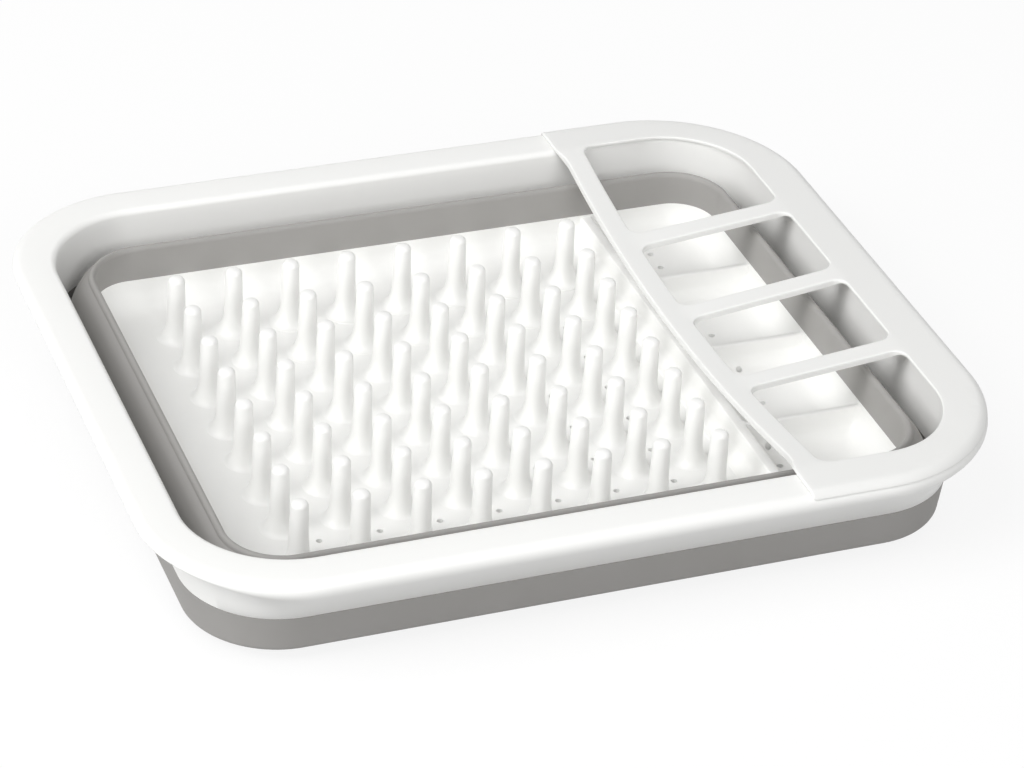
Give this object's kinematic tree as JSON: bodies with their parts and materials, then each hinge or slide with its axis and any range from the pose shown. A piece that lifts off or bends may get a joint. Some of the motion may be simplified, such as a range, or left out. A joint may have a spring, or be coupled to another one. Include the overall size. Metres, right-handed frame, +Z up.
{
  "type": "folding dish drainer",
  "caption": "Flat-folding dish drainer: pegged drip tray on a soft bellows wall, stiff rim with end handles and a lift-off cutlery frame over compartments.",
  "frame": {"origin": "on the table under the middle of the whole object, folded flat, at the height of the foot pads' undersides", "axes": "+X along the length, towards the cutlery compartments; +Y to the back; +Z up"},
  "size_m": [0.365, 0.3086, 0.0536],
  "materials": {
    "white_rim": "satin polypropylene",
    "white_tray": "satin polypropylene",
    "white_frame": "satin polypropylene",
    "grey_bellows": "matt soft elastomer",
    "grey_pad": "matt soft elastomer"
  },
  "bodies": {
    "base": {"base_tray": "white_tray", "bellows_inner_band": "grey_bellows", "bellows_middle_band": "grey_bellows", "foot_pad_front_left": "grey_pad", "foot_pad_front_right": "grey_pad", "foot_pad_back_left": "grey_pad", "foot_pad_back_right": "grey_pad"},
    "rim": {"rim_frame": "white_rim", "bellows_outer_band": "grey_bellows"},
    "cutlery_frame": {"cutlery_frame": "white_frame"}
  },
  "joints": [
    {"name": "rim_lift", "type": "slide", "parent": "base", "child": "rim", "axis": [0, 0, 1], "range_m": [0, 0.063], "deforming": ["bellows_middle_band"]},
    {"name": "cutlery_frame_lift", "type": "slide", "parent": "rim", "child": "cutlery_frame", "axis": [0, 0, 1], "range_m": [0, 0.06]}
  ]
}
